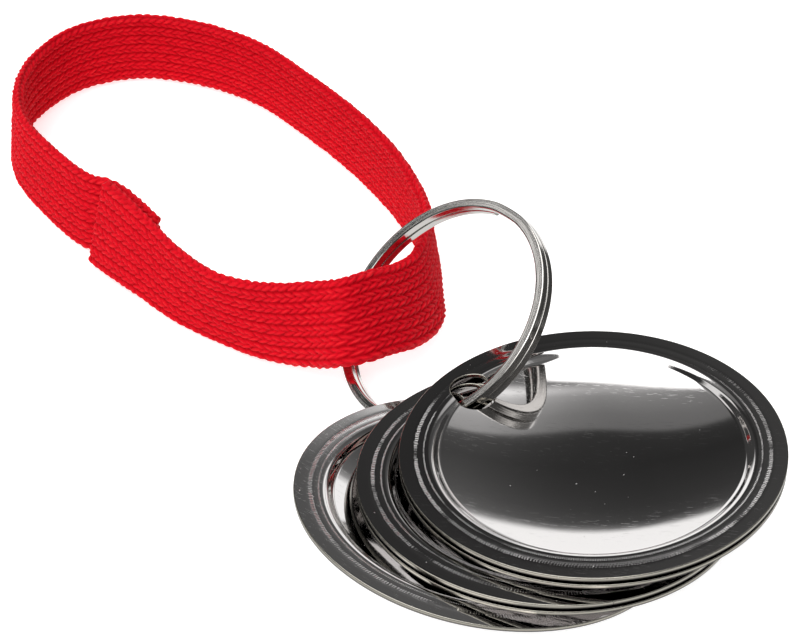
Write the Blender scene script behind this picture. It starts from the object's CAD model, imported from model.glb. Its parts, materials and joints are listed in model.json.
"""Looks for the finger cymbals: five dished steel discs and a red braided wrist loop on a split
ring. Sizes are in millimetres in the layout that the part was drawn in, and meshes are in metres
in the frame's own axes."""

import json
import math

import bpy
import numpy as np
from mathutils import Euler, Matrix, Vector


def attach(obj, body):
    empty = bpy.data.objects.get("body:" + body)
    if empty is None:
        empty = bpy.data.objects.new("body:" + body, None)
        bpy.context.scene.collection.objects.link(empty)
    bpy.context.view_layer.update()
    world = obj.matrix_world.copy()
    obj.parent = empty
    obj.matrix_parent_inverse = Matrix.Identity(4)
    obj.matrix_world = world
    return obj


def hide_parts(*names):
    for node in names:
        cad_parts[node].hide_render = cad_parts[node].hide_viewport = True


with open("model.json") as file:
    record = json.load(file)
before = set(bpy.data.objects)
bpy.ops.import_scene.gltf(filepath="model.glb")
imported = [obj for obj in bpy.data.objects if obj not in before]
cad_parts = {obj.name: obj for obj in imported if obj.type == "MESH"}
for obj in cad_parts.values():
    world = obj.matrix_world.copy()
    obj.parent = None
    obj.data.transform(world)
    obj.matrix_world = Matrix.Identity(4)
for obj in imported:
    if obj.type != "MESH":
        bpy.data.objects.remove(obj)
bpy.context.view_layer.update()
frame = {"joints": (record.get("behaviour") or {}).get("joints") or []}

MM = 0.001

# Discs, as in the part
DISC_RADIUS = 25.0
SHEET = 0.6
RIM_INNER_RADIUS = 21.3
SHOULDER_RADIUS = 1.0
WALL_SLOPE = 42.0
WALL_RUN = 0.35
KNUCKLE_RADIUS = 1.5
BOWL_SLOPE = 12.0
BOWL_POWER = 1.4
HOLE_RADIUS = 3.05
HOLE_OFFSET = 20.0
EDGE_ROUND = 0.12

# Each pressed line in the rim: its radius, half width and depth
PRESSED_LINES = ((22.9, 0.34, 0.010), (21.75, 0.12, 0.004))

# Each band of die marks: its radius, half width and the pitch of its ticks
MARK_RADIUS = 22.9
MARK_BANDS = ((22.85, 0.3, 0.36), (21.75, 0.12, 0.28))
FAINT_SIDE = (0.66, -0.75)
LOWER_EDGE_TONE = (0.09, 0.085, 0.077, 1)
UPPER_EDGE_TONE = (0.42, 0.40, 0.35, 1)

# Each disc's place, the angles that its up axis leans at, and the direction of its hole
DISC_PLACES = [
    ("disc_5", (11.0, -48.5, 5.2), (8.2, 4.9), 118.5),
    ("disc_4", (19.3, -46.7, 7.3), (0.4, 1.7), 135.0),
    ("disc_3", (19.3, -46.7, 8.4), (0.4, 1.7), 130.0),
    ("disc_2", (24.8, -44.7, 10.8), (-3.6, -0.5), 141.0),
    ("disc_1", (24.8, -44.7, 11.9), (-3.6, -0.5), 138.6),
]

# Split ring, as in the part
RING_RADIUS = 17.35
WIRE_DEPTH = 1.38
WIRE_WIDTH = 1.17
TURN_GAP = 0.06
WIRE_CORNER = 0.22
RING_AT = Vector((6.1, -17.0, 13.67))
RING_LEAN = 42.5
RING_HEADING = -150.6
STEP_FROM = 180.0
STEP_SPAN = 18.0
END_CLEARANCE = 2.0

# Wrist loop, as in the part: the strap's middle line, and how far its upper edge leans inwards
STRAP_WIDTH = 12.6
STRAP_THICKNESS = 1.8
STRAP_ROUTE = [
    (-46.8, 17.0, 7.4, 16),
    (-39.6, 7.7, 7.2, 16),
    (-33.5, 0.4, 6.7, 8),
    (-26.7, -5.8, 6.7, 0),
    (-19.5, -10.2, 7.3, 8),
    (-13.0, -13.4, 9.0, 20),
    (-7.4, -16.2, 11.5, 32),
    (-2.6, -13.3, 11.2, 36),
    (0.8, -9.8, 9.9, 32),
    (3.7, -4.2, 8.6, 22),
    (4.6, 3.4, 8.0, 13),
    (4.6, 11.8, 7.3, 8),
    (2.4, 20.4, 6.9, 3),
    (-1.4, 30.7, 6.8, 0),
    (-7.7, 43.0, 6.6, -1),
    (-15.8, 54.9, 6.6, -1),
    (-25.0, 66.0, 6.9, -2),
    (-36.0, 73.7, 6.8, -3),
    (-47.2, 76.4, 6.8, -3),
    (-57.0, 72.4, 6.8, -2),
    (-63.2, 62.6, 6.8, 2),
    (-65.0, 51.5, 6.9, 7),
    (-62.8, 40.6, 6.8, 8),
    (-57.2, 30.7, 6.8, 10),
    (-49.6, 21.3, 6.6, 13),
    (-45.1, 18.4, 6.7, 16),
    (-38.0, 9.1, 6.5, 16),
]

# Braid: columns of stitches round the flattened tube, leaning one way and then the other
BRAID_COLUMNS = 30
BRAID_COLUMN_STEPS = 5
BRAID_PITCH = 1.49
BRAID_ROW = 0.225
BRAID_RELIEF = 0.42
BRAID_BASE = 0.34
BRAID_SEED = 7
RIB_GROOVE_WIDTH = 0.32
RIB_GROOVE_DEPTH = 0.20
RIB_GROOVE_SHADE = 0.45
RED_GROOVE = (0.46, 0.0004, 0.006, 1)
RED_CROWN = (0.64, 0.0012, 0.011, 1)
RED_BRIGHT = (0.80, 0.03, 0.03, 1)

# The outer end is a flared sleeve, and the strap narrows at its fold beside the ring. The fold's
# place counts the points of the route.
FLARE_LENGTH = 17.0
FLARE_WIDENING = 0.15
FOLD_PLACE = 8.6
FOLD_REACH = 6.0
FOLD_NARROWING = 0.14

# Stitching over the inner lap, as in the part
THREAD_RADIUS = 0.3
THREAD_GAP = 0.3
STITCH_ROWS = 7
STITCH_REACH = 4.4
STITCH_PITCH = 1.2
STITCH_FROM = 0.967

# Camera, aimed at the layout's origin
CAMERA_DISTANCE = 300.0
CAMERA_ELEVATION = 35.3
CAMERA_LENS = 89.3

# The studio's tones. The first list goes by the sine of the height above the table.
STUDIO_TONES = [
    (0.0, 1.35), (0.436, 1.35), (0.458, 0.2), (0.48, 0.075), (0.53, 0.052), (0.588, 0.04),
    (0.643, 0.032), (0.682, 0.04), (0.698, 0.055), (0.706, 0.19), (0.740, 0.22), (0.7705, 0.29),
    (0.790, 0.37), (0.805, 0.6), (0.822, 0.85), (0.9, 0.6), (1.0, 0.6),
]
SOFTBOX_TONE = 1.9
BESIDE_TONE = 0.06
CARD_TONE = 1.0
BELOW_TONE = 0.95

RING_JOINT = next(j for j in frame["joints"] if j["name"] == "disc_5_slide_round")
SHIFT = np.array(RING_JOINT["pos_m"]) / MM - np.array(RING_AT)


def to_frame(points):
    """Layout millimetres to metres in the frame."""
    return (np.asarray(points, float) + SHIFT) * MM


def unit(rows):
    return rows / np.linalg.norm(rows, axis=-1, keepdims=True)


def smooth(low, high, value):
    t = np.clip((value - low) / (high - low), 0, 1)
    return t * t * (3 - 2 * t)


def make_object(name, points, faces, normals, material, attributes=None):
    """A smooth mesh in the frame from layout points, with its own normals and attributes."""
    mesh = bpy.data.meshes.new(name)
    mesh.from_pydata(to_frame(points).tolist(), [], faces)
    mesh.polygons.foreach_set("use_smooth", [True] * len(mesh.polygons))
    for key, values in (attributes or {}).items():
        values = np.asarray(values, np.float32)
        kind, field = ("FLOAT_VECTOR", "vector") if values.ndim == 2 else ("FLOAT", "value")
        stored = mesh.attributes.new(key, kind, "POINT")
        stored.data.foreach_set(field, values.ravel())
    if normals is not None:
        mesh.normals_split_custom_set_from_vertices(unit(np.asarray(normals)).tolist())
    mesh.materials.append(material)
    obj = bpy.data.objects.new(name, mesh)
    bpy.context.scene.collection.objects.link(obj)
    return obj


# ---------------------------------------------------------------- materials


class Graph:
    """Short calls for a material's or the world's nodes."""

    def __init__(self, tree):
        self.tree = tree

    def node(self, kind, inputs=None, **settings):
        made = self.tree.nodes.new(kind)
        for key, value in settings.items():
            setattr(made, key, value)
        for key, value in (inputs or {}).items():
            self.put(made.inputs[key], value)
        return made

    def put(self, socket, value):
        if isinstance(value, bpy.types.NodeSocket):
            self.tree.links.new(value, socket)
        else:
            socket.default_value = value

    def math(self, operation, a, b=0.0, c=0.0, clamp=False):
        made = self.node("ShaderNodeMath", operation=operation, use_clamp=clamp)
        for socket, value in zip(made.inputs, (a, b, c)):
            self.put(socket, value)
        return made.outputs[0]

    def ramp(self, value, low, high, to_low=0.0, to_high=1.0):
        """A smooth step from to_low, where the value is low, to to_high, where it is high."""
        inputs = {
            "Value": value, "From Min": low, "From Max": high, "To Min": to_low, "To Max": to_high,
        }
        return self.node("ShaderNodeMapRange", inputs, interpolation_type="SMOOTHSTEP").outputs[0]

    def vector(self, x, y, z):
        return self.node("ShaderNodeCombineXYZ", {"X": x, "Y": y, "Z": z}).outputs[0]

    def noise(self, vector, scale, detail=2.0, roughness=0.5):
        inputs = {"Vector": vector, "Scale": scale, "Detail": detail, "Roughness": roughness}
        return self.node("ShaderNodeTexNoise", inputs).outputs["Fac"]

    def colour(self, factor, a, b):
        made = self.node("ShaderNodeMix", data_type="RGBA")
        self.put(made.inputs[0], factor)
        self.put(made.inputs[6], a)
        self.put(made.inputs[7], b)
        return made.outputs[2]

    def attribute(self, name):
        return self.node("ShaderNodeAttribute", attribute_name=name)

    def bump(self, height, distance, strength=1.0, normal=None):
        inputs = {"Height": height, "Distance": distance, "Strength": strength}
        if normal is not None:
            inputs["Normal"] = normal
        return self.node("ShaderNodeBump", inputs).outputs[0]


def new_material(name):
    material = bpy.data.materials.new(name)
    material.use_nodes = True
    graph = Graph(material.node_tree)
    return material, graph, material.node_tree.nodes["Principled BSDF"]


def tick_band(g, around, radius, seed, middle, half, pitch):
    """Fine radial ticks side by side in a ring of the rim, stronger in some stretches."""
    stray = g.noise(g.vector(g.math("MULTIPLY", around, 0.9), middle, seed), 1.0)
    phase = g.math("MULTIPLY_ADD", around, 2 * math.pi / pitch, g.math("MULTIPLY", stray, 9.0))
    tick = g.ramp(g.math("SINE", phase), -0.1, 0.9)
    wander = g.noise(g.vector(g.math("MULTIPLY", around, 2.1), middle, seed), 1.0)
    line = g.math("MULTIPLY_ADD", wander, 1.2 * half, middle - 0.6 * half)
    away = g.math("ABSOLUTE", g.math("SUBTRACT", radius, line))
    patchy = g.noise(g.vector(g.math("MULTIPLY", around, 0.14), middle, seed), 1.0)
    inside = g.ramp(away, half, 0.5 * half)
    strength = g.math("MULTIPLY", inside, g.ramp(patchy, 0.3, 0.62, 0.15, 1.0))
    return g.math("MULTIPLY", tick, strength)


def die_marks(g, x, y, seed, radius, top):
    """The die's marks in two bands of the rim's upper face, fainter on one side of the disc."""
    turn = g.math("MULTIPLY", g.math("ARCTAN2", y, x), MARK_RADIUS)
    around = g.math("MULTIPLY_ADD", seed, 3.7, turn)
    outer, inner = (tick_band(g, around, radius, seed, *band) for band in MARK_BANDS)
    marks = g.math("MAXIMUM", outer, inner)
    toward = g.math("MULTIPLY_ADD", x, FAINT_SIDE[0], g.math("MULTIPLY", y, FAINT_SIDE[1]))
    toward = g.math("DIVIDE", toward, g.math("MAXIMUM", radius, 0.01))
    marks = g.math("MULTIPLY", marks, g.ramp(toward, 0.9, 0.2, 0.12, 1.0))
    return g.math("MULTIPLY", marks, top)


def hairline_marks(g, x, y, seed):
    """Two sets of fine scratches, each drawn out one way and close together across it."""
    first = g.vector(
        g.math("MULTIPLY_ADD", x, 0.35, g.math("MULTIPLY", y, 0.2)),
        g.math("MULTIPLY_ADD", y, 9.0, g.math("MULTIPLY", x, -5.0)),
        seed,
    )
    second = g.vector(
        g.math("MULTIPLY_ADD", x, 8.0, g.math("MULTIPLY", y, 6.0)),
        g.math("MULTIPLY_ADD", y, 0.3, g.math("MULTIPLY", x, -0.3)),
        seed,
    )
    lines = g.ramp(g.noise(first, 1.0, 2.0), 0.64, 0.72)
    return g.math("MAXIMUM", lines, g.ramp(g.noise(second, 1.0, 2.0), 0.68, 0.74))


def dust_specks(g, place):
    """Small round specks, in about half of the cells of a Voronoi pattern."""
    cells = g.node("ShaderNodeTexVoronoi", {"Vector": place, "Scale": 0.8, "Randomness": 1.0})
    chosen = g.node("ShaderNodeSeparateColor", {"Color": cells.outputs["Color"]})
    size = g.math("MULTIPLY", chosen.outputs[0], 0.075)
    specks = g.math("LESS_THAN", cells.outputs["Distance"], size)
    return g.math("MULTIPLY", specks, g.math("GREATER_THAN", chosen.outputs[1], 0.5))


def steel_material():
    """Bright pressed steel: die marks in two bands of the rim, hairlines, dust and cut edges."""
    material, g, shader = new_material("pressed_steel")
    place = g.attribute("place").outputs["Vector"]
    split = g.node("ShaderNodeSeparateXYZ", {"Vector": place})
    x, y, seed = split.outputs
    radius = g.math("SQRT", g.math("ADD", g.math("MULTIPLY", x, x), g.math("MULTIPLY", y, y)))
    edge = g.attribute("edge").outputs["Fac"]
    top = g.attribute("top").outputs["Fac"]
    marks = die_marks(g, x, y, seed, radius, top)
    hairlines = hairline_marks(g, x, y, seed)
    specks = dust_specks(g, place)
    smears = g.noise(place, 0.09, 4.0, 0.6)

    base = g.colour(smears, (0.62, 0.602, 0.598, 1), (0.66, 0.645, 0.635, 1))
    base = g.colour(g.ramp(edge, 0.0, 0.5), base, LOWER_EDGE_TONE)
    base = g.colour(g.ramp(edge, 0.5, 0.8), base, UPPER_EDGE_TONE)
    g.put(shader.inputs["Base Color"], base)
    g.put(shader.inputs["Metallic"], 1.0)
    bare = g.ramp(smears, 0.35, 0.75, 0.03, 0.06)
    rough = g.math("ADD", bare, g.math("MULTIPLY", hairlines, 0.04))
    rough = g.math("ADD", rough, g.math("MULTIPLY", specks, 0.5))
    rough = g.math("ADD", rough, g.math("MULTIPLY", marks, 0.20))
    rough = g.math("ADD", rough, g.math("MULTIPLY", edge, 0.22), clamp=True)
    g.put(shader.inputs["Roughness"], rough)
    height = g.math("ADD", g.math("MULTIPLY", marks, 0.5), g.math("MULTIPLY", hairlines, 0.02))
    grain = g.math("MULTIPLY", g.noise(place, 9.0, 2.0), 0.012)
    height = g.math("ADD", height, g.math("ADD", grain, g.math("MULTIPLY", specks, 0.3)))
    g.put(shader.inputs["Normal"], g.bump(height, 0.03 * MM))
    return material


def nickel_material():
    """Polished nickel wire with faint drawing lines along it."""
    material, g, shader = new_material("nickel_wire")
    split = g.node("ShaderNodeSeparateXYZ", {"Vector": g.attribute("wire").outputs["Vector"]})
    along, around, ends = split.outputs
    drawn = g.vector(g.math("MULTIPLY", along, 0.12), g.math("MULTIPLY", around, 7.0), 0.0)
    lines = g.noise(drawn, 1.0, 3.0)
    smears = g.noise(g.vector(along, around, 2.0), 0.35, 3.0)
    base = g.colour(smears, (0.62, 0.60, 0.575, 1), (0.68, 0.655, 0.625, 1))
    g.put(shader.inputs["Base Color"], base)
    g.put(shader.inputs["Metallic"], 1.0)
    rough = g.math("ADD", g.ramp(smears, 0.3, 0.8, 0.05, 0.11), g.math("MULTIPLY", ends, 0.2))
    g.put(shader.inputs["Roughness"], rough)
    g.put(shader.inputs["Normal"], g.bump(lines, 0.012 * MM))
    return material


def braid_material(name, groove, crown, bright):
    """Polyester yarn: dark between stitches, lighter on their crowns, with fine filaments."""
    material, g, shader = new_material(name)
    relief = g.attribute("relief").outputs["Fac"]
    yarn = g.attribute("yarn").outputs["Vector"]
    split = g.node("ShaderNodeSeparateXYZ", {"Vector": yarn})
    across, along, number = split.outputs
    spun = g.vector(g.math("MULTIPLY", across, 9.0), along, g.math("MULTIPLY", number, 3.7))
    filaments = g.noise(spun, 1.0)
    each = g.noise(g.vector(number, g.math("MULTIPLY", number, 0.37), 0.0), 3.1, 0.0)
    colour = g.colour(g.ramp(relief, 0.1, 0.75), groove, crown)
    fibres = g.math("MULTIPLY", filaments, g.ramp(each, 0.3, 0.7, 0.5, 1.5))
    lift = g.math("MULTIPLY", g.ramp(relief, 0.6, 1.0), fibres)
    colour = g.colour(g.math("MULTIPLY", lift, 0.55), colour, bright)
    g.put(shader.inputs["Base Color"], colour)
    g.put(shader.inputs["Roughness"], g.ramp(filaments, 0.3, 0.7, 0.5, 0.72))
    shader.inputs["Specular IOR Level"].default_value = 0.10
    shader.inputs["Sheen Weight"].default_value = 0.05
    shader.inputs["Sheen Roughness"].default_value = 0.35
    shader.inputs["Sheen Tint"].default_value = (1.0, 0.30, 0.27, 1)
    g.put(shader.inputs["Normal"], g.bump(filaments, 0.05 * MM, 0.6))
    return material


def floor_material():
    material, g, shader = new_material("white_table")
    place = g.node("ShaderNodeTexCoord").outputs["Object"]
    tone = g.noise(place, 3.0, 2.0)
    g.put(shader.inputs["Base Color"], g.colour(tone, (0.80, 0.80, 0.80, 1), (0.83, 0.83, 0.83, 1)))
    shader.inputs["Roughness"].default_value = 0.8
    shader.inputs["Specular IOR Level"].default_value = 0.1
    shader.inputs["Emission Color"].default_value = (1, 1, 1, 1)
    shader.inputs["Emission Strength"].default_value = 0.6
    return material


# ---------------------------------------------------------------- discs


def sheet_middle():
    """The sheet's middle surface from the middle of the bowl out to the rim's edge: radius, height
    and slope, as in the part but with many more points."""
    radius = [RIM_INNER_RADIUS]
    height = [0.0]
    slope = [0.0]

    def step(run, drop, angle):
        radius.append(radius[-1] - run)
        height.append(height[-1] - drop)
        slope.append(angle)

    def arc(arc_radius, start, end, steps):
        angles = np.radians(np.linspace(start, end, steps + 1))
        for before, after in zip(angles, angles[1:]):
            run = arc_radius * abs(math.sin(after) - math.sin(before))
            drop = arc_radius * abs(math.cos(after) - math.cos(before))
            step(run, drop, math.degrees(after))

    arc(SHOULDER_RADIUS, 0.0, WALL_SLOPE, 60)
    step(WALL_RUN, WALL_RUN * math.tan(math.radians(WALL_SLOPE)), WALL_SLOPE)
    arc(KNUCKLE_RADIUS, WALL_SLOPE, BOWL_SLOPE, 60)
    bowl = radius[-1]
    count = 160
    for index in range(1, count + 1):
        middle = bowl * (1 - (index - 0.5) / count)
        end = bowl * (1 - index / count)
        drop = (bowl / count) * math.tan(math.radians(BOWL_SLOPE * (middle / bowl) ** BOWL_POWER))
        step(bowl / count, drop, BOWL_SLOPE * (end / bowl) ** BOWL_POWER)
    radius.insert(0, DISC_RADIUS)
    height.insert(0, 0.0)
    slope.insert(0, 0.0)
    return np.array(radius)[::-1], np.array(height)[::-1], np.radians(np.array(slope)[::-1])


def skin(side):
    """A skin's height over its radius as a table, and the angle that it slopes at: side is 1 for
    the upper skin and -1 for the lower one. The rim carries two faint pressed lines."""
    radius, height, slope = sheet_middle()
    offset = side * SHEET / 2
    at = radius - np.sin(slope) * offset
    up = height + np.cos(slope) * offset
    grid = np.linspace(0, DISC_RADIUS, 5001)
    z = np.interp(grid, at, up)
    for middle, half, depth in PRESSED_LINES:
        z -= depth * np.exp(-(((grid - middle) / half) ** 2))
    return grid, z, np.gradient(z, grid)


UPPER = skin(1)
LOWER = skin(-1)


def lifted(table, flat):
    """Puts flat points on a skin: points and normals, both facing up."""
    grid, z, slope = table
    radius = np.linalg.norm(flat, axis=1)
    height = np.interp(radius, grid, z)
    lean = np.interp(radius, grid, slope)
    out = flat / np.maximum(radius, 1e-9)[:, None]
    points = np.column_stack([flat, height])
    return points, unit(np.column_stack([-out * lean[:, None], np.ones(len(flat))]))


def flat_disc():
    """A polar grid in the plane with the hole cut out and its rim pulled onto a circle: points,
    faces, the outer loop and the hole's loop."""
    turn = np.radians(np.concatenate([np.arange(-10.5, 10.5, 0.5), np.arange(10.5, 349.5, 1.5)]))
    lines = np.concatenate([
        np.arange(1.0, 16.5, 1.0),
        np.arange(16.5, 18.9, 0.3),
        np.arange(18.9, 21.9, 0.1),
        np.arange(21.9, 24.7, 0.2),
        [DISC_RADIUS - EDGE_ROUND],
    ])
    grid = np.stack([np.outer(lines, np.cos(turn)), np.outer(lines, np.sin(turn))], axis=-1)
    points = np.vstack([grid.reshape(-1, 2), [[0.0, 0.0]]])
    rings, spokes = len(lines), len(turn)
    hub = rings * spokes
    middle = np.array([HOLE_OFFSET, 0.0])
    reach = HOLE_RADIUS + EDGE_ROUND
    away = np.linalg.norm(points - middle, axis=1)
    inside = away < reach
    faces = []
    for j in range(spokes):
        after = (j + 1) % spokes
        faces.append((hub, j, after))
        for i in range(rings - 1):
            near, far = i * spokes, (i + 1) * spokes
            cell = (near + j, far + j, far + after, near + after)
            if not all(inside[k] for k in cell):
                faces.append(cell)
    stretch = reach / np.maximum(away[inside], 1e-6)
    points[inside] = middle + (points[inside] - middle) * stretch[:, None]
    used = sorted({k for face in faces for k in face})
    keys = {}
    renumber = {}
    kept = []
    for k in used:
        key = (round(points[k][0], 4), round(points[k][1], 4))
        if key not in keys:
            keys[key] = len(kept)
            kept.append(points[k])
        renumber[k] = keys[key]
    clean = []
    for face in faces:
        loop = []
        for k in (renumber[k] for k in face):
            if k not in loop:
                loop.append(k)
        if len(loop) > 2:
            clean.append(tuple(loop))
    outer = [renumber[(rings - 1) * spokes + j] for j in range(spokes)]
    return np.array(kept), clean, outer, hole_loop(clean, set(outer))


def hole_loop(faces, outer):
    """The open edges that aren't on the outer loop, in order as the faces run."""
    edges = {(a, b) for face in faces for a, b in zip(face, face[1:] + face[:1])}
    following = {a: b for a, b in edges if (b, a) not in edges and a not in outer}
    start = next(iter(sorted(following)))
    loop = [start]
    while following[loop[-1]] != start:
        loop.append(following[loop[-1]])
    return loop


def disc_shape():
    """One disc about its own middle: points, faces, normals, how much each point is on an edge, and
    the number of points in each skin."""
    flat, faces, outer, hole = flat_disc()
    count = len(flat)
    top, top_normals = lifted(UPPER, flat)
    low, low_normals = lifted(LOWER, flat)
    points = [top, low]
    normals = [top_normals, -low_normals]
    edge = [np.zeros(2 * count)]
    everything = list(faces) + [tuple(k + count for k in reversed(face)) for face in faces]
    total = 2 * count

    def close(loop, ring_at, steps=5):
        """Rolls the surface over a rounded edge, from the upper skin's loop to the lower one's."""
        nonlocal total
        before = list(loop)
        stages = [(1, t) for t in np.radians(np.linspace(0, 90, steps + 1))[1:]]
        stages += [(-1, t) for t in np.radians(np.linspace(90, 0, steps + 1))[:-1]]
        for side, angle in stages:
            ring, ring_normals = ring_at(side, angle)
            points.append(ring)
            normals.append(ring_normals)
            edge.append(np.full(len(ring), 1.0 if side > 0 else 0.5))
            now = [total + k for k in range(len(ring))]
            total += len(ring)
            join(before, now)
            before = now
        join(before, [k + count for k in loop])

    def join(first, second):
        for k in range(len(first)):
            after = (k + 1) % len(first)
            everything.append((first[k], second[k], second[after], first[after]))

    def outer_ring(side, angle):
        out = unit(flat[outer])
        radius = DISC_RADIUS - EDGE_ROUND * (1 - math.sin(angle))
        height = side * (SHEET / 2 - EDGE_ROUND * (1 - math.cos(angle)))
        ring = np.column_stack([out * radius, np.full(len(out), height)])
        level = np.full(len(out), side * math.cos(angle))
        return ring, np.column_stack([out * math.sin(angle), level])

    def hole_ring(side, angle):
        middle = np.array([HOLE_OFFSET, 0.0])
        out = unit(flat[hole] - middle)
        spot = middle + out * (HOLE_RADIUS + EDGE_ROUND * (1 - math.sin(angle)))
        ring, skin_normals = lifted(UPPER if side > 0 else LOWER, spot)
        ring[:, 2] -= side * EDGE_ROUND * (1 - math.cos(angle))
        inward = np.column_stack([-out, np.zeros(len(out))])
        return ring, unit(side * skin_normals * math.cos(angle) + inward * math.sin(angle))

    close(outer, outer_ring)
    close(hole, hole_ring)
    return np.vstack(points), everything, np.vstack(normals), np.concatenate(edge), count


def make_discs(material):
    shape, faces, normals, edge, count = disc_shape()
    plumb = Vector((0, 0, 1))
    for number, (name, at, slope, hole) in enumerate(DISC_PLACES):
        lean_x, lean_y = (math.tan(math.radians(angle)) for angle in slope)
        up = Vector((lean_x, lean_y, 1)).normalized()
        spin = Matrix.Rotation(math.radians(hole), 3, "Z")
        turn = np.array(plumb.rotation_difference(up).to_matrix() @ spin)
        place = shape.copy()
        place[:, 2] = 3.0 * number
        top = np.zeros(len(shape))
        top[:count] = 1
        attributes = {"place": place, "edge": edge, "top": top}
        disc = make_object(
            name + "_steel", shape @ turn.T + at, faces, normals @ turn.T, material, attributes
        )
        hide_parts(name)
        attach(disc, name)


# ---------------------------------------------------------------- sweeps


def rounded_bar(width, thickness, corner, corner_steps, side_steps):
    """A bar's outline with rounded corners: places and normals, width along x."""
    points = []
    normals = []
    x, y = width / 2 - corner, thickness / 2 - corner
    corners = ((x, y, 0), (-x, y, 90), (-x, -y, 180), (x, -y, 270))
    for index, (cx, cy, start) in enumerate(corners):
        for angle in np.radians(start + np.linspace(0, 90, corner_steps + 1)):
            points.append((cx + corner * math.cos(angle), cy + corner * math.sin(angle)))
            normals.append((math.cos(angle), math.sin(angle)))
        nx, ny, _ = corners[(index + 1) % 4]
        last = math.radians(start + 90)
        end = (nx + corner * math.cos(last), ny + corner * math.sin(last))
        first = points[-1]
        for step in range(1, side_steps):
            part = step / side_steps
            points.append(tuple(a + (b - a) * part for a, b in zip(first, end)))
            normals.append((math.cos(last), math.sin(last)))
    return np.array(points), np.array(normals)


def tube_faces(rows, sides):
    """Quads round a swept outline, whose outline turns from the width to the thickness."""
    faces = []
    for row in range(rows - 1):
        a, b = row * sides, (row + 1) * sides
        for side in range(sides):
            after = (side + 1) % sides
            faces.append((a + side, a + after, b + after, b + side))
    return faces


def make_ring(material):
    first = STEP_FROM + STEP_SPAN + END_CLEARANCE / 2 - 360
    last = STEP_FROM + 360 - END_CLEARANCE / 2
    angles = np.linspace(first, last, 1000)
    pitch = WIRE_WIDTH + TURN_GAP
    across = smooth(STEP_FROM, STEP_FROM + STEP_SPAN, angles)
    turned = np.radians(angles)
    out = np.column_stack([np.cos(turned), np.sin(turned), np.zeros(len(angles))])
    middle = out * (RING_RADIUS - WIRE_DEPTH / 2)
    middle[:, 2] = pitch * (across - 0.5)
    axis = np.array([0.0, 0.0, 1.0])
    outline, outline_normals = rounded_bar(WIRE_WIDTH, WIRE_DEPTH, WIRE_CORNER, 6, 3)
    sides = len(outline)
    run = np.radians(angles - first) * RING_RADIUS
    taper = np.minimum(1, np.minimum(run, run[-1] - run) / 0.12)
    size = 1 - 0.14 * (1 - np.sqrt(1 - (1 - taper) ** 2))
    x, y = outline[:, 0], outline[:, 1]
    section = x[:, None] * axis + y[None, :, None] * out[:, None]
    points = middle[:, None] + size[:, None, None] * section
    nx, ny = outline_normals[:, 0], outline_normals[:, 1]
    normals = nx[:, None] * axis + ny[None, :, None] * out[:, None]
    around = np.cumsum(np.r_[0, np.linalg.norm(np.diff(outline, axis=0), axis=1)])
    wire = np.stack([
        np.repeat(run[:, None], sides, 1),
        np.repeat(around[None], len(run), 0),
        np.repeat((1 - taper)[:, None], sides, 1),
    ], axis=-1)
    faces = tube_faces(len(angles), sides)
    faces.append(tuple(reversed(range(sides))))
    faces.append(tuple(range((len(angles) - 1) * sides, len(angles) * sides)))
    lean = Euler((0, math.radians(RING_LEAN), math.radians(RING_HEADING)), "XYZ")
    turn = np.array(lean.to_matrix())
    ring = make_object(
        "split_ring_nickel",
        points.reshape(-1, 3) @ turn.T + np.array(RING_AT),
        faces,
        normals.reshape(-1, 3) @ turn.T,
        material,
        {"wire": wire.reshape(-1, 3)},
    )
    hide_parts("split_ring")
    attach(ring, "split_ring")


# ---------------------------------------------------------------- wrist loop

ROUTE = np.array(STRAP_ROUTE, float)


def route_point(places):
    """The part's own curve: a centripetal Catmull-Rom line through the route, places 0 to 1."""
    knots = ROUTE[:, :3]
    knots = np.vstack([2 * knots[0] - knots[1], knots, 2 * knots[-1] - knots[-2]])
    spot = np.clip(places, 0, 1) * (len(ROUTE) - 1)
    index = np.minimum(spot.astype(int), len(ROUTE) - 2)
    t = (spot - index)[:, None]
    p0, p1, p2, p3 = (knots[index + k] for k in range(4))
    spans = ((p0, p1), (p1, p2), (p2, p3))
    d0, d1, d2 = (np.linalg.norm(b - a, axis=1)[:, None] ** 0.5 for a, b in spans)
    m1 = ((p1 - p0) / d0 - (p2 - p0) / (d0 + d1) + (p2 - p1) / d1) * d1
    m2 = ((p2 - p1) / d1 - (p3 - p1) / (d1 + d2) + (p3 - p2) / d2) * d1
    return (
        p1 * (2 * t**3 - 3 * t**2 + 1) + m1 * (t**3 - 2 * t**2 + t)
        + p2 * (3 * t**2 - 2 * t**3) + m2 * (t**3 - t**2)
    )


def route_lean(places):
    """How far the strap's upper edge leans inwards, in degrees, smoothed along the route."""
    lean = np.r_[ROUTE[0, 3], ROUTE[:, 3], ROUTE[-1, 3]]
    spot = np.clip(places, 0, 1) * (len(ROUTE) - 1)
    index = np.minimum(spot.astype(int), len(ROUTE) - 2)
    t = spot - index
    p0, p1, p2, p3 = (lean[index + k] for k in range(4))
    v0, v1 = (p2 - p0) / 2, (p3 - p1) / 2
    return (2 * p1 - 2 * p2 + v0 + v1) * t**3 + (3 * p2 - 3 * p1 - 2 * v0 - v1) * t**2 + v0 * t + p1


def strap_frames(places):
    """Middle, direction, width and thickness of the strap, as in the part."""
    step = 1e-4
    along = unit(route_point(places + step) - route_point(places - step))
    up = np.array([0.0, 0.0, 1.0])
    wide = unit(up - along * along[:, 2:3])
    angle = -np.radians(route_lean(places))[:, None]
    wide = wide * np.cos(angle) + np.cross(along, wide) * np.sin(angle)
    return route_point(places), along, wide, np.cross(along, wide)


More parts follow.
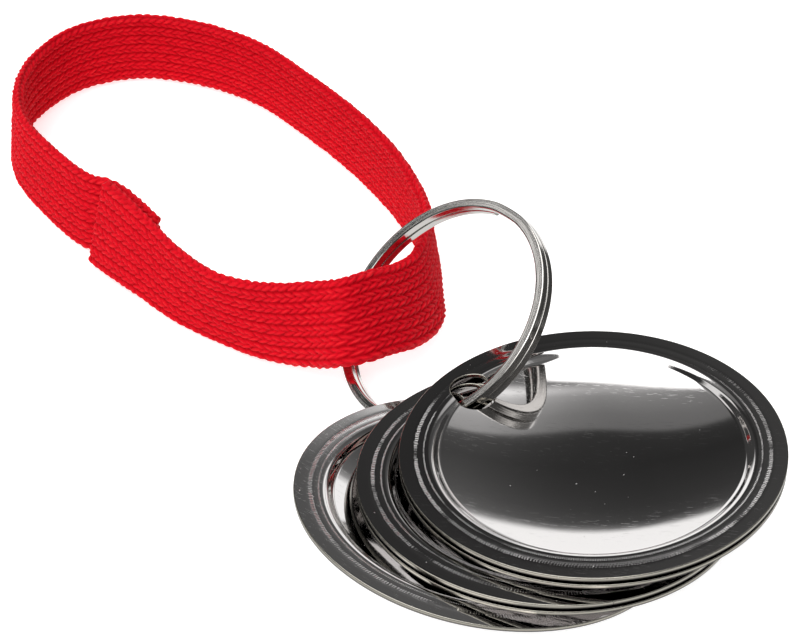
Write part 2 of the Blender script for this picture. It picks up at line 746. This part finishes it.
def places_by_length():
    """Places along the strap at equal steps of its length, and the lengths there."""
    fine = np.linspace(0, 1, 8001)
    length = np.r_[0, np.cumsum(np.linalg.norm(np.diff(route_point(fine), axis=0), axis=1))]
    run = np.linspace(0, length[-1], int(length[-1] / BRAID_ROW) + 1)
    return np.interp(run, length, fine), run, length[-1]


def tube_outline(half_width, half_thickness, count):
    """A flattened tube's outline by its length, from the middle of the outer face."""
    straight = half_width - half_thickness
    quarter = straight + math.pi * half_thickness / 2
    v = np.arange(count) / count * 4 * quarter
    points = np.zeros((count, 2))
    normals = np.zeros((count, 2))
    for index, place in enumerate(v):
        half = place if place <= 2 * quarter else 4 * quarter - place
        if place > 2 * quarter:
            side = -1
        else:
            side = 1
        if half <= straight:
            spot, normal = (half, half_thickness), (0, 1)
        elif half >= 2 * quarter - straight:
            spot, normal = (2 * quarter - half, -half_thickness), (0, -1)
        else:
            angle = math.pi / 2 - (half - straight) / half_thickness
            normal = (math.cos(angle), math.sin(angle))
            spot = (straight + half_thickness * normal[0], half_thickness * normal[1])
        points[index] = (side * spot[0], spot[1])
        normals[index] = (side * normal[0], normal[1])
    return points, normals


def braid_relief(run, column):
    """Height of the stitches from 0 to 1 with the yarn's own coordinates: across it, along it, and
    its number. A float crosses its column on a slant and dives under the next column's floats."""
    rng = np.random.default_rng(BRAID_SEED)
    rows = int(run.max() / BRAID_PITCH) + 8
    size = 1 + rng.uniform(-0.18, 0.1, (BRAID_COLUMNS, rows))
    slip = rng.uniform(-0.09, 0.09, (BRAID_COLUMNS, rows))
    u = (run / BRAID_PITCH)[:, None] + 3
    whole = np.floor(column).astype(int)
    part = column - whole
    best = np.zeros((len(run), len(column)))
    yarn = np.zeros((len(run), len(column), 3))
    for shift in (-1, 0, 1):
        number = (whole + shift) % BRAID_COLUMNS
        way = np.where(number % 2 == 0, 1.0, -1.0)
        start = np.where(number % 2 == 0, 0.0, 0.5)
        spot = part - shift - 0.5
        centre = (way * spot + start)[None, :]
        row = np.round(u - centre).astype(int)
        across = (u - centre - row - slip[number[None, :], row]) / 0.56
        along = np.broadcast_to(2 * spot[None, :] / 1.25, across.shape)
        height = np.clip(1 - across**2 - along**2, 0, 1) ** 0.8 * size[number[None, :], row]
        over = height > best
        best = np.where(over, height, best)
        data = np.stack([across, along, row * 1.618 + number[None, :] * 0.377], axis=-1)
        yarn = np.where(over[..., None], data, yarn)
    return np.clip(best, 0, 1.1), yarn


def mesh_normals(points, rows, sides):
    """Normals of a closed-round grid of points, from the directions to its neighbours."""
    grid = points.reshape(rows, sides, 3)
    around = np.roll(grid, -1, axis=1) - np.roll(grid, 1, axis=1)
    onward = np.gradient(grid, axis=0)
    return unit(np.cross(around, onward)).reshape(-1, 3)


def make_strap(material):
    places, run, length = places_by_length()
    middle, _, wide, thick = strap_frames(places)
    sides = BRAID_COLUMNS * BRAID_COLUMN_STEPS
    half_width, half_thickness = STRAP_WIDTH / 2 - BRAID_BASE, STRAP_THICKNESS / 2 - BRAID_BASE
    outline, outward = tube_outline(half_width, half_thickness, sides)
    column = np.arange(sides) / BRAID_COLUMN_STEPS
    relief, yarn = braid_relief(run, column)
    rib = np.abs((column / 2 + 0.5) % 1 - 0.5) * 2
    groove = np.exp(-((rib / RIB_GROOVE_WIDTH) ** 2))[None, :]
    depth = relief * BRAID_RELIEF - RIB_GROOVE_DEPTH * groove
    relief = relief * (1 - RIB_GROOVE_SHADE * groove)
    rng = np.random.default_rng(BRAID_SEED)
    sway = sum(
        rng.uniform(0.03, 0.08) * np.sin(run / rng.uniform(6, 20) + rng.uniform(0, 6))
        for _ in range(4)
    )

    flare = 1 - smooth(1.0, FLARE_LENGTH, run)
    fold = length * FOLD_PLACE / (len(ROUTE) - 1)
    pull = FOLD_NARROWING * np.exp(-(((run - fold) / FOLD_REACH) ** 2))
    x = outline[:, 0][None, :] * (1 + FLARE_WIDENING * flare[:, None])
    x = np.where(x < 0, x * (1 - pull[:, None]), x)
    y = np.repeat(outline[:, 1][None, :], len(run), 0)
    y = np.where(y > 0, y * (1 + 1.0 * flare[:, None]), y) + sway[:, None] * 0.4
    x = x + outward[:, 0] * depth
    y = y + outward[:, 1] * depth
    tip = np.minimum(run, length - run)
    close = np.sqrt(np.clip(1 - (1 - np.minimum(tip / 0.9, 1)) ** 2, 0.0025, 1))[:, None]
    y = y * close
    x = x * (1 - 0.05 * (1 - close))
    points = middle[:, None] + x[..., None] * wide[:, None] + y[..., None] * thick[:, None]
    rows = len(run)
    faces = tube_faces(rows, sides)
    half = sides // 2
    for index in range(-(sides // 4), sides // 4):
        corners = (index, index + 1, half - index - 1, half - index)
        quad = [corner % sides for corner in corners]
        loop = list(dict.fromkeys(quad))
        if len(loop) > 2:
            faces.append(tuple(reversed(loop)))
            faces.append(tuple(k + (rows - 1) * sides for k in loop))
    flat = points.reshape(-1, 3)
    strap = make_object(
        "wrist_loop_braid", flat, faces, mesh_normals(flat, rows, sides), material,
        {"relief": relief.ravel(), "yarn": yarn.reshape(-1, 3)},
    )
    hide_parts("wrist_loop")
    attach(strap, "wrist_loop")
    return length


def stitch_line(count, strap_length):
    """The thread's middle line and its two section directions, as in the part."""
    turn = STITCH_PITCH / 2
    straight = 2 * (STITCH_REACH - turn)
    row_length = straight + math.pi * turn
    run = np.linspace(0, STITCH_ROWS * row_length - math.pi * turn, count)
    row = np.minimum(np.floor(run / row_length), STITCH_ROWS - 1)
    done = run - row * row_length
    side = np.where(row % 2 == 0, 1.0, -1.0)
    angle = np.maximum(0, done - straight) / turn
    across = side * (np.minimum(done, straight) - straight / 2 + turn * np.sin(angle))
    onward = row * STITCH_PITCH + turn * (1 - np.cos(angle))
    middle, along, wide, thick = strap_frames(STITCH_FROM + onward / strap_length)
    out = STRAP_THICKNESS / 2 + THREAD_GAP + THREAD_RADIUS
    centre = middle + wide * across[:, None] - thick * out
    forward = wide * (side * np.cos(angle))[:, None] + along * np.sin(angle)[:, None]
    return run, centre, np.cross(thick, forward), thick


def make_stitching(material, strap_length):
    count, sides = 900, 18
    run, centre, wide, thick = stitch_line(count, strap_length)
    angle = np.linspace(0, 2 * math.pi, sides, endpoint=False)[None, :]
    twist = run[:, None] * 2 * math.pi / 1.8
    relief = 0.5 + 0.5 * np.cos(3 * (angle - twist))
    tip = np.minimum(run, run[-1] - run)
    close = np.sqrt(np.clip(1 - (1 - np.minimum(tip / 0.3, 1)) ** 2, 0.01, 1))[:, None]
    radius = THREAD_RADIUS * (0.80 + 0.20 * relief) * close
    x, y = radius * np.cos(angle), radius * np.sin(angle)
    points = centre[:, None] + x[..., None] * wide[:, None] + y[..., None] * thick[:, None]
    faces = tube_faces(count, sides)
    faces.append(tuple(reversed(range(sides))))
    faces.append(tuple(range((count - 1) * sides, count * sides)))
    yarn = np.stack([
        np.broadcast_to(3 * (angle - twist) / math.pi, x.shape),
        np.broadcast_to(run[:, None], x.shape),
        np.zeros(x.shape),
    ], axis=-1)
    flat = points.reshape(-1, 3)
    thread = make_object(
        "splice_thread", flat, faces, mesh_normals(flat, count, sides), material,
        {"relief": np.broadcast_to(relief, x.shape).ravel(), "yarn": yarn.reshape(-1, 3)},
    )
    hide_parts("splice_stitching")
    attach(thread, "wrist_loop")


# ---------------------------------------------------------------- studio


def make_floor(material):
    """A wide pale table just under the set. The steel doesn't mirror it."""
    size = 3.0
    mesh = bpy.data.meshes.new("table")
    corners = [(-size, -size, 0), (size, -size, 0), (size, size, 0), (-size, size, 0)]
    mesh.from_pydata(corners, [], [(0, 1, 2, 3)])
    mesh.materials.append(material)
    table = bpy.data.objects.new("table", mesh)
    table.location.z = -0.05 * MM
    table.visible_glossy = False
    bpy.context.scene.collection.objects.link(table)


def tone_by_height(g, height):
    """The studio's tone at each height of a direction, which is its sine."""
    ramp = g.node("ShaderNodeValToRGB")
    g.put(ramp.inputs[0], height)
    elements = ramp.color_ramp.elements
    elements.remove(elements[1])
    elements[0].color = (STUDIO_TONES[0][1],) * 3 + (1,)
    for at, tone in STUDIO_TONES[1:]:
        elements.new(at).color = (tone,) * 3 + (1,)
    return ramp.outputs["Color"]


def softbox(g, x, y, z):
    """1 inside a five-sided softbox overhead and 0 outside, laid out on a level plane."""
    above = g.math("MAXIMUM", z, 0.05)
    over_x = g.math("DIVIDE", x, above)
    over_y = g.math("DIVIDE", y, above)
    box = g.ramp(g.math("MULTIPLY_ADD", over_x, 0.35, over_y), 0.70, 0.665)
    left = g.ramp(g.math("MULTIPLY_ADD", over_y, 0.094, over_x), 0.17, 0.13)
    corner = g.ramp(g.math("MULTIPLY_ADD", over_x, -0.85, over_y), 0.97, 0.93)
    right = g.ramp(over_x, -0.95, -0.90)
    back = g.ramp(over_y, -1.1, -0.9)
    for side in (left, corner, right, back):
        box = g.math("MULTIPLY", box, side)
    return box


def between(g, value, start, full_from, full_to, end):
    """1 between two values, easing to 0 at the start and the end."""
    return g.math("MULTIPLY", g.ramp(value, start, full_from), g.ramp(value, end, full_to))


def make_world():
    """The studio that the steel mirrors, by direction: a white sweep low down behind the set and
    dark beside it, a card at one side, a dark band above, a softbox overhead, and white below."""
    world = bpy.data.worlds.new("studio")
    world.use_nodes = True
    bpy.context.scene.world = world
    g = Graph(world.node_tree)
    background = world.node_tree.nodes["Background"]
    direction = g.node("ShaderNodeTexCoord").outputs["Generated"]
    split = g.node("ShaderNodeSeparateXYZ", {"Vector": direction})
    x, y, z = split.outputs
    level = tone_by_height(g, z)
    box = softbox(g, x, y, z)
    outside = g.math("MULTIPLY", g.ramp(z, 0.80, 0.83), g.math("SUBTRACT", 1.0, box))
    level = g.math("MULTIPLY", level, g.math("MULTIPLY_ADD", outside, -0.75, 1.0))
    level = g.math("ADD", level, g.math("MULTIPLY", box, SOFTBOX_TONE))
    azimuth = g.math("ARCTAN2", x, y)
    sweep = between(g, azimuth, -0.47, -0.33, 0.50, 0.62)
    beside = g.math("MULTIPLY", g.ramp(z, 0.70, 0.46), g.math("SUBTRACT", 1.0, sweep))
    level = g.math("MULTIPLY_ADD", beside, g.math("SUBTRACT", BESIDE_TONE, level), level)
    card = between(g, azimuth, -1.5, -1.4, -0.95, -0.85)
    card = g.math("MULTIPLY", card, between(g, z, 0.482, 0.502, 0.62, 0.66))
    level = g.math("MULTIPLY_ADD", card, CARD_TONE, level)
    below = g.ramp(z, -0.15, -0.4)
    level = g.math("MULTIPLY_ADD", below, g.math("SUBTRACT", BELOW_TONE, level), level)
    lit = g.ramp(azimuth, math.radians(-2), math.radians(14))
    dark = between(g, z, 0.44, 0.47, 0.80, 0.83)
    lift = g.math("MULTIPLY_ADD", g.math("MULTIPLY", lit, dark), 1.3, 1.0)
    level = g.math("MULTIPLY", level, lift)
    g.put(background.inputs["Color"], g.vector(level, level, level))
    background.inputs["Strength"].default_value = 1.0


def area_light(name, at, size, power):
    """A soft white lamp aimed at the set, which the steel doesn't mirror."""
    data = bpy.data.lights.new(name, "AREA")
    data.shape = "RECTANGLE"
    data.size = size
    data.size_y = size
    data.energy = power
    light = bpy.data.objects.new(name, data)
    light.location = at
    light.rotation_euler = (-Vector(at)).to_track_quat("-Z", "Y").to_euler()
    light.visible_glossy = False
    bpy.context.scene.collection.objects.link(light)


def make_camera():
    data = bpy.data.cameras.new("camera")
    data.lens = CAMERA_LENS
    data.clip_start = 0.01
    data.clip_end = 50
    camera = bpy.data.objects.new("camera", data)
    lean = math.radians(CAMERA_ELEVATION)
    spot = (0, -CAMERA_DISTANCE * math.cos(lean), CAMERA_DISTANCE * math.sin(lean))
    camera.location = to_frame(spot)
    camera.rotation_euler = (math.pi / 2 - lean, 0, 0)
    bpy.context.scene.collection.objects.link(camera)
    bpy.context.scene.camera = camera


make_camera()
make_world()
make_floor(floor_material())
area_light("front_fill", (-0.3, -0.9, 0.6), 0.7, 5.0)
area_light("left_fill", (-0.9, 0.1, 0.5), 0.6, 1.5)
area_light("right_fill", (0.9, -0.2, 0.5), 0.6, 1.5)
make_discs(steel_material())
make_ring(nickel_material())
STRAP_LENGTH = make_strap(braid_material("red_braid", RED_GROOVE, RED_CROWN, RED_BRIGHT))
make_stitching(braid_material("red_thread", RED_GROOVE, RED_CROWN, RED_BRIGHT), STRAP_LENGTH)

bpy.context.scene.view_settings.view_transform = "Standard"
